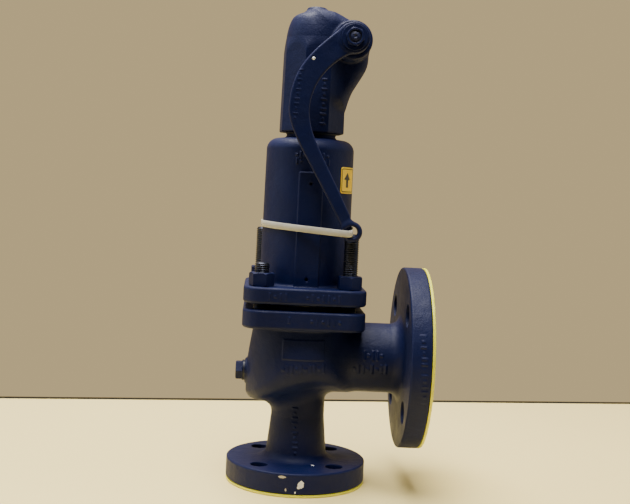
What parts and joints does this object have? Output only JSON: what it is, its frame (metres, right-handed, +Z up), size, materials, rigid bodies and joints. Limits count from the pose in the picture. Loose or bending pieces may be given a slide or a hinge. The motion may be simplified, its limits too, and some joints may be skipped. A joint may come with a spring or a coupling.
{
  "type": "flanged pressure relief valve",
  "caption": "Angle-pattern spring-loaded relief valve with flanged inlet and outlet, closed bonnet, sealed cap and a curved lifting lever held by a nylon tie.",
  "frame": {"origin": "centre of the inlet flange's raised face", "axes": "+Z up along the spindle, +X out of the outlet, the lever is on the -Y side"},
  "size_m": [0.1583, 0.15, 0.3888],
  "materials": {
    "casting": "semi-gloss navy paint over a cast surface",
    "painted_fastener": "navy paint over machined steel",
    "stud_steel": "dark oxide with a film of paint",
    "bright_steel": "turned steel",
    "stainless": "machined stainless steel",
    "spring_steel": "coiled spring wire",
    "graphite": "matte graphite sheet",
    "label_film": "printed vinyl film",
    "cover_plastic": "soft yellow plastic",
    "nylon": "natural nylon"
  },
  "bodies": {
    "housing": {"body": "casting", "seat_ring": "stainless", "drain_plug": "painted_fastener", "drain_gasket": "bright_steel", "guide_plate": "stainless", "bonnet_gasket": "graphite", "bonnet": "casting", "long_studs": "stud_steel", "short_studs": "stud_steel", "stud_nuts": "painted_fastener", "cap_gasket": "graphite", "cap": "casting", "gland_bush": "painted_fastener", "gland_seal": "graphite", "sticker": "label_film", "inlet_cover": "cover_plastic", "outlet_cover": "cover_plastic", "tie": "nylon", "spring": "spring_steel", "lock_nut": "bright_steel"},
    "spindle_set": {"spindle": "stainless", "disc": "stainless", "disc_retainer": "bright_steel", "disc_holder": "stainless", "split_ring": "bright_steel", "lower_spring_plate": "stainless", "lifting_nut": "stainless", "lifting_pin": "bright_steel"},
    "upper_plate": {"upper_spring_plate": "stainless"},
    "screw": {"adjusting_screw": "stainless"},
    "lever_set": {"lever": "casting", "lever_shaft": "bright_steel", "lever_washer": "painted_fastener", "lever_nut": "painted_fastener", "lever_rivet": "bright_steel", "fork": "stainless", "fork_pin": "bright_steel", "shaft_clip": "bright_steel"}
  },
  "joints": [
    {"name": "lever_turn", "type": "hinge", "parent": "housing", "child": "lever_set", "pos_m": [0.028, 0, 0.359], "axis": [0, 1, 0], "range_deg": [0, 12.4], "deforming": ["tie"]},
    {"name": "spindle_lift", "type": "slide", "parent": "housing", "child": "spindle_set", "axis": [0, 0, 1], "range_m": [0, 0.00607], "stiffness_N_per_m": 12000, "springref_m": -0.012, "deforming": ["spring"]},
    {"name": "plate_slide", "type": "slide", "parent": "housing", "child": "upper_plate", "axis": [0, 0, 1], "range_m": [-0.0016, 0.0016], "deforming": ["spring"]},
    {"name": "screw_turn", "type": "hinge", "parent": "upper_plate", "child": "screw", "pos_m": [0, 0, 0.29], "axis": [0, 0, 1], "range_deg": [-360, 360]}
  ],
  "couplings": [
    {"joint": "spindle_lift", "follows": "lever_turn", "m_per_rad": 0.028},
    {"joint": "plate_slide", "follows": "screw_turn", "m_per_rad": 0.00023873}
  ]
}
